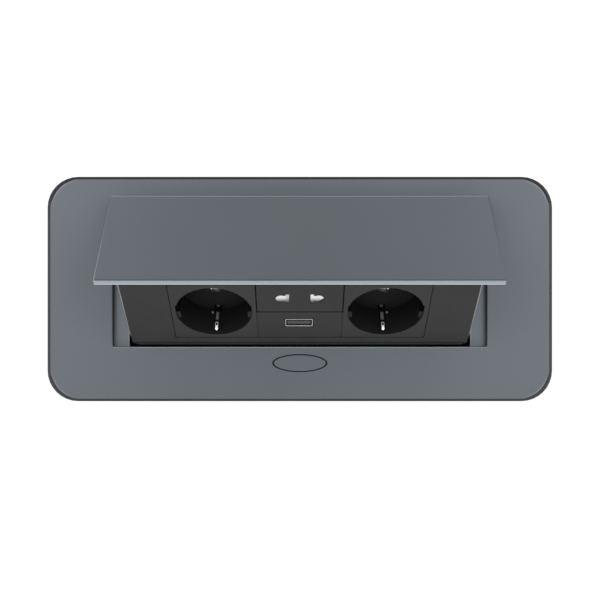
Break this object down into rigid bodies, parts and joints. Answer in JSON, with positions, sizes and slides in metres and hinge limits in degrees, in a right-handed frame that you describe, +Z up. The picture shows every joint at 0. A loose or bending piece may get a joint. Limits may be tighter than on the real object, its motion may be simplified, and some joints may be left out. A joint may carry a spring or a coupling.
{
  "type": "in-desk power module",
  "caption": "Desk-mounted pop-up power module: grey plate and hinged lid, black panel with two earthed sockets, a two-pin outlet and a USB port.",
  "frame": {"origin": "centre of the module's bounding box at the underside of the housing", "axes": "+Z up through the desk top, +Y towards the hinge at the rear, +X to the right as seen from the front"},
  "size_m": [0.28, 0.1244, 0.1138],
  "materials": {
    "grey_metal": "grey anodised, fine satin",
    "black_plastic": "black, satin",
    "dark_plastic": "black, matte",
    "steel": "zinc plated",
    "nickel": "nickel plated",
    "brass": "plain",
    "board": "green laminate",
    "magnet": "nickel plated block"
  },
  "bodies": {
    "root": {"faceplate": "grey_metal", "housing": "dark_plastic", "housing_screw_1": "steel", "housing_screw_2": "steel", "housing_screw_3": "steel", "housing_screw_4": "steel", "spring_clip_left": "steel", "spring_clip_right": "steel", "clip_rivet_left": "steel", "clip_rivet_right": "steel", "hinge_bracket_left": "steel", "hinge_bracket_right": "steel", "hinge_pin_left": "steel", "hinge_pin_right": "steel", "torsion_spring_left": "steel", "torsion_spring_right": "steel", "bracket_screw_1": "steel", "bracket_screw_2": "steel", "bracket_screw_3": "steel", "bracket_screw_4": "steel", "cable_gland": "dark_plastic", "gland_nut": "dark_plastic", "button_spring": "steel", "lever_pin": "steel", "catch_magnet": "magnet"},
    "unit": {"lid": "grey_metal", "cheek_left": "steel", "cheek_right": "steel", "lid_screw_1": "steel", "lid_screw_2": "steel", "lid_screw_3": "steel", "lid_screw_4": "steel", "cheek_rivet_1": "steel", "cheek_rivet_2": "steel", "cheek_rivet_3": "steel", "cheek_rivet_4": "steel", "panel_frame": "black_plastic", "rear_cover": "dark_plastic", "schuko_insert_left": "black_plastic", "schuko_insert_right": "black_plastic", "earth_clip_left": "nickel", "earth_clip_right": "nickel", "line_contact_left": "brass", "line_contact_right": "brass", "neutral_contact_left": "brass", "neutral_contact_right": "brass", "socket_screw_left": "steel", "socket_screw_right": "steel", "two_pin_module": "black_plastic", "pin_contact_left": "nickel", "pin_contact_right": "nickel", "usb_module": "black_plastic", "usb_shell": "steel", "usb_tongue": "black_plastic", "usb_board": "board", "terminal_block": "black_plastic", "keeper_plate": "steel"},
    "button": {"push_button": "grey_metal"},
    "lever": {"release_lever": "dark_plastic"}
  },
  "joints": [
    {"name": "unit_hinge", "type": "hinge", "parent": "root", "child": "unit", "pos_m": [0, 0.05, 0.0432], "axis": [1, 0, 0], "range_deg": [0, 41.2], "stiffness_Nm_per_rad": 0.7, "springref_deg": -57.3, "deforming": ["torsion_spring_left", "torsion_spring_right"]},
    {"name": "button_press", "type": "slide", "parent": "root", "child": "button", "axis": [0, 0, -1], "range_m": [0, 0.0025], "stiffness_N_per_m": 500, "springref_m": -0.002, "deforming": ["button_spring"]},
    {"name": "lever_pivot", "type": "hinge", "parent": "root", "child": "lever", "pos_m": [0, -0.036, 0.0051], "axis": [1, 0, 0], "range_deg": [0, 26.6]}
  ],
  "couplings": [
    {"joint": "lever_pivot", "follows": "button_press", "rad_per_m": 185}
  ]
}
